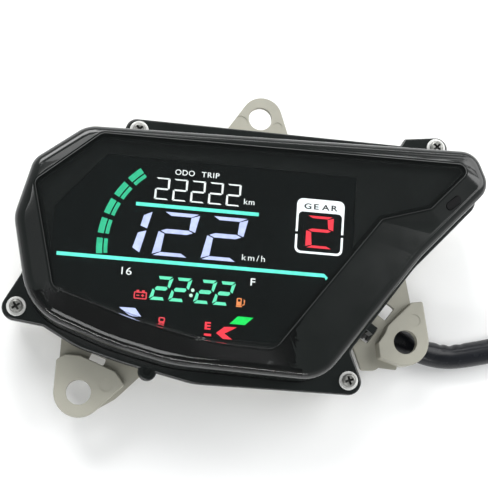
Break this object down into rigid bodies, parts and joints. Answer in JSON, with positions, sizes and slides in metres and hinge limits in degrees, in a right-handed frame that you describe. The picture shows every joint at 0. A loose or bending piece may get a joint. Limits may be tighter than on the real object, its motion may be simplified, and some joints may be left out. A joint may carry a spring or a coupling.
{
  "type": "instrument cluster",
  "caption": "Wedge-shaped digital instrument cluster for a scooter: dark window over a segment display, mode button, screwed two-part case, mounting lugs and a sleeved lead with plug.",
  "frame": {"origin": "centre of the case's footprint, on the plane that its back rests on", "axes": "+Z out of the display, +Y towards the display's upper edge, +X towards its right-hand side"},
  "size_m": [0.2763, 0.1551, 0.058],
  "materials": {
    "tinted_lens": "glossy dark smoke-tinted moulded window",
    "black_plastic": "smooth black moulding",
    "grey_plastic": "satin light grey moulding",
    "seal_rubber": "black sealing rubber",
    "zinc_steel": "bright zinc-plated",
    "display_glass": "dark negative display glass",
    "white_film": "white diffusing film",
    "white_plastic": "white moulding",
    "contact_rubber": "layered conductive rubber",
    "board_laminate": "green solder mask",
    "chip_plastic": "black epoxy package",
    "can_aluminium": "drawn can",
    "can_steel": "plated can",
    "led_plastic": "white package with yellow phosphor",
    "wire_vinyl": "vinyl insulation",
    "grommet_rubber": "black moulded rubber",
    "sleeve_vinyl": "satin black vinyl tube",
    "connector_nylon": "natural nylon",
    "terminal_brass": "tinned brass"
  },
  "bodies": {
    "cluster": {"lens": "tinted_lens", "front_frame": "black_plastic", "rear_housing": "grey_plastic", "lens_gasket": "seal_rubber", "housing_gasket": "seal_rubber", "case_screws": "zinc_steel", "display_mask": "black_plastic", "lcd_panel": "display_glass", "diffuser_film": "white_film", "light_box": "white_plastic", "contact_strips": "contact_rubber", "circuit_board": "board_laminate", "board_screws": "zinc_steel", "microcontroller": "chip_plastic", "memory_chip": "chip_plastic", "voltage_regulator": "chip_plastic", "capacitors": "can_aluminium", "crystal": "can_steel", "backlight_leds": "led_plastic", "indicator_leds": "led_plastic", "board_header": "white_plastic", "header_plug": "white_plastic", "inner_wires": "wire_vinyl", "tact_switch": "chip_plastic", "vent_plug": "seal_rubber", "cable_grommet": "grommet_rubber", "cable_sleeve": "sleeve_vinyl", "harness_wires": "wire_vinyl", "harness_connector": "connector_nylon", "connector_terminals": "terminal_brass"},
    "button": {"mode_button": "black_plastic", "switch_plunger": "black_plastic"}
  },
  "joints": [
    {"name": "button_press", "type": "slide", "parent": "cluster", "child": "button", "axis": [0, 0, -1], "range_m": [0, 0.0008], "stiffness_N_per_m": 3000, "springref_m": -0.0003}
  ]
}
